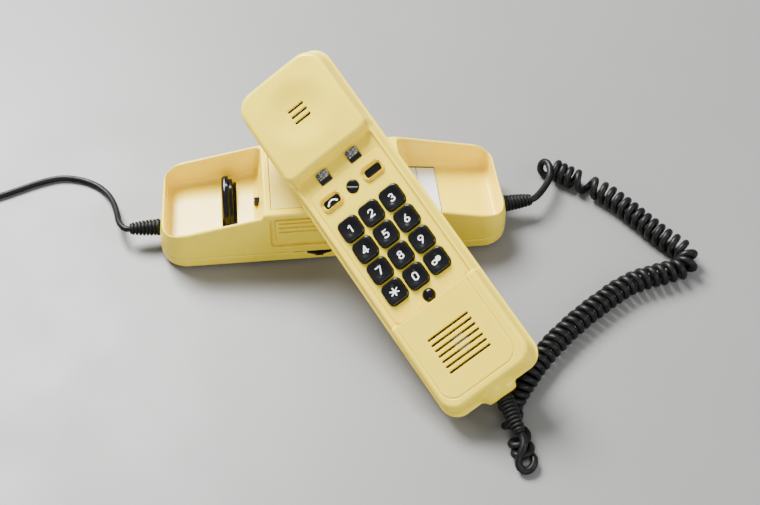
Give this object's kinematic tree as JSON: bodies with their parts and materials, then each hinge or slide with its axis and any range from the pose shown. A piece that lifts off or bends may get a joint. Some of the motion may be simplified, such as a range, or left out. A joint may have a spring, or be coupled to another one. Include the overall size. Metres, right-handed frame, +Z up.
{
  "type": "corded landline phone",
  "caption": "Slim corded telephone: low cradle base with two wells and a hook lever, keypad handset lying off the hook, coiled handset cord and line cord with plug.",
  "frame": {"origin": "on the table plane, under the centre of the base's plan", "axes": "+X along the base towards the coiled cord, -Y towards the front (the user), +Z up"},
  "size_m": [0.5289, 0.2594, 0.1187],
  "materials": {
    "ivory_plastic": "moulded, semi-gloss, slightly aged",
    "card_plastic": "thin flat panel",
    "label_paper": "blank white paper label, matt",
    "black_plastic": "glossy black",
    "black_rubber": "matt moulded rubber",
    "cord_jacket": "satin flexible jacket",
    "steel": "plain",
    "bright_metal": "bright plated",
    "circuit_board": "solder-masked board",
    "inner_plastic": "moulded, matt",
    "brass_disc": "thin disc",
    "silicone": "soft mat",
    "foam_ring": "foam",
    "clear_plastic": "clear moulded",
    "gold_contacts": "plated"
  },
  "bodies": {
    "base": {"base_top_shell": "ivory_plastic", "base_bottom_shell": "ivory_plastic", "base_feet": "black_rubber", "base_screws": "steel", "hook_pivot_pin": "steel", "hook_contact_switch": "inner_plastic", "base_circuit_board": "circuit_board", "ringer_sounder": "brass_disc", "ringer_louvre": "ivory_plastic", "card_panel": "card_plastic", "paper_label": "label_paper", "line_gland": "black_rubber", "base_cord_gland": "black_rubber", "line_terminals": "inner_plastic", "coiled_cord": "cord_jacket", "coiled_cord_base_lead": "cord_jacket", "coiled_cord_handset_lead": "cord_jacket", "line_cord": "cord_jacket", "line_cord_spare_coil": "cord_jacket", "line_cord_tail": "cord_jacket", "line_plug": "clear_plastic", "plug_contacts": "gold_contacts"},
    "handset": {"handset_front_shell": "ivory_plastic", "handset_back_shell": "ivory_plastic", "keypad_plate": "ivory_plastic", "button_frames": "ivory_plastic", "contact_plates": "bright_metal", "key_mat": "silicone", "handset_circuit_board": "circuit_board", "receiver_capsule": "inner_plastic", "receiver_gasket": "foam_ring", "microphone_capsule": "steel", "handset_screws": "steel", "handset_gland": "black_rubber"},
    "hook_lever": {"hook_lever": "black_plastic"},
    "ringer_slider": {"ringer_slider": "black_plastic"},
    "key_1": {"key_1": "black_plastic"},
    "key_2": {"key_2": "black_plastic"},
    "key_3": {"key_3": "black_plastic"},
    "key_4": {"key_4": "black_plastic"},
    "key_5": {"key_5": "black_plastic"},
    "key_6": {"key_6": "black_plastic"},
    "key_7": {"key_7": "black_plastic"},
    "key_8": {"key_8": "black_plastic"},
    "key_9": {"key_9": "black_plastic"},
    "key_star": {"key_star": "black_plastic"},
    "key_0": {"key_0": "black_plastic"},
    "key_redial": {"key_redial": "black_plastic"},
    "line_button": {"line_button": "black_plastic"},
    "flash_button": {"flash_button": "black_plastic"},
    "mute_button": {"mute_button": "black_plastic"},
    "volume_adjuster": {"volume_adjuster": "black_plastic"}
  },
  "joints": [
    {"name": "handset_lift", "type": "slide", "parent": "base", "child": "handset", "axis": [0, 0, 1], "range_m": [0, 0.1]},
    {"name": "hook_lever_press", "type": "hinge", "parent": "base", "child": "hook_lever", "pos_m": [-0.0685, -0.009, 0.011], "axis": [-1, 0, 0], "range_deg": [0, 11], "stiffness_Nm_per_rad": 0.08, "springref_deg": -17.19},
    {"name": "ringer_slider_move", "type": "slide", "parent": "base", "child": "ringer_slider", "axis": [1, 0, 0], "range_m": [-0.004, 0.004]},
    {"name": "key_1_press", "type": "slide", "parent": "handset", "child": "key_1", "axis": [0.3355, 0.4997, -0.7986], "range_m": [0, 0.0015], "stiffness_N_per_m": 400, "springref_m": -0.0005},
    {"name": "key_2_press", "type": "slide", "parent": "handset", "child": "key_2", "axis": [0.3355, 0.4997, -0.7986], "range_m": [0, 0.0015], "stiffness_N_per_m": 400, "springref_m": -0.0005},
    {"name": "key_3_press", "type": "slide", "parent": "handset", "child": "key_3", "axis": [0.3355, 0.4997, -0.7986], "range_m": [0, 0.0015], "stiffness_N_per_m": 400, "springref_m": -0.0005},
    {"name": "key_4_press", "type": "slide", "parent": "handset", "child": "key_4", "axis": [0.3355, 0.4997, -0.7986], "range_m": [0, 0.0015], "stiffness_N_per_m": 400, "springref_m": -0.0005},
    {"name": "key_5_press", "type": "slide", "parent": "handset", "child": "key_5", "axis": [0.3355, 0.4997, -0.7986], "range_m": [0, 0.0015], "stiffness_N_per_m": 400, "springref_m": -0.0005},
    {"name": "key_6_press", "type": "slide", "parent": "handset", "child": "key_6", "axis": [0.3355, 0.4997, -0.7986], "range_m": [0, 0.0015], "stiffness_N_per_m": 400, "springref_m": -0.0005},
    {"name": "key_7_press", "type": "slide", "parent": "handset", "child": "key_7", "axis": [0.3355, 0.4997, -0.7986], "range_m": [0, 0.0015], "stiffness_N_per_m": 400, "springref_m": -0.0005},
    {"name": "key_8_press", "type": "slide", "parent": "handset", "child": "key_8", "axis": [0.3355, 0.4997, -0.7986], "range_m": [0, 0.0015], "stiffness_N_per_m": 400, "springref_m": -0.0005},
    {"name": "key_9_press", "type": "slide", "parent": "handset", "child": "key_9", "axis": [0.3355, 0.4997, -0.7986], "range_m": [0, 0.0015], "stiffness_N_per_m": 400, "springref_m": -0.0005},
    {"name": "key_star_press", "type": "slide", "parent": "handset", "child": "key_star", "axis": [0.3355, 0.4997, -0.7986], "range_m": [0, 0.0015], "stiffness_N_per_m": 400, "springref_m": -0.0005},
    {"name": "key_0_press", "type": "slide", "parent": "handset", "child": "key_0", "axis": [0.3355, 0.4997, -0.7986], "range_m": [0, 0.0015], "stiffness_N_per_m": 400, "springref_m": -0.0005},
    {"name": "key_redial_press", "type": "slide", "parent": "handset", "child": "key_redial", "axis": [0.3355, 0.4997, -0.7986], "range_m": [0, 0.0015], "stiffness_N_per_m": 400, "springref_m": -0.0005},
    {"name": "line_button_press", "type": "slide", "parent": "handset", "child": "line_button", "axis": [0.3355, 0.4997, -0.7986], "range_m": [0, 0.0015], "stiffness_N_per_m": 400, "springref_m": -0.0005},
    {"name": "flash_button_press", "type": "slide", "parent": "handset", "child": "flash_button", "axis": [0.3355, 0.4997, -0.7986], "range_m": [0, 0.0015], "stiffness_N_per_m": 400, "springref_m": -0.0005},
    {"name": "mute_button_press", "type": "slide", "parent": "handset", "child": "mute_button", "axis": [0.3355, 0.4997, -0.7986], "range_m": [0, 0.0015], "stiffness_N_per_m": 400, "springref_m": -0.0005},
    {"name": "volume_adjuster_turn", "type": "hinge", "parent": "handset", "child": "volume_adjuster", "pos_m": [0.0101, -0.03705, 0.07333], "axis": [-0.3355, -0.4997, 0.7986], "range_deg": [-120, 120]}
  ]
}
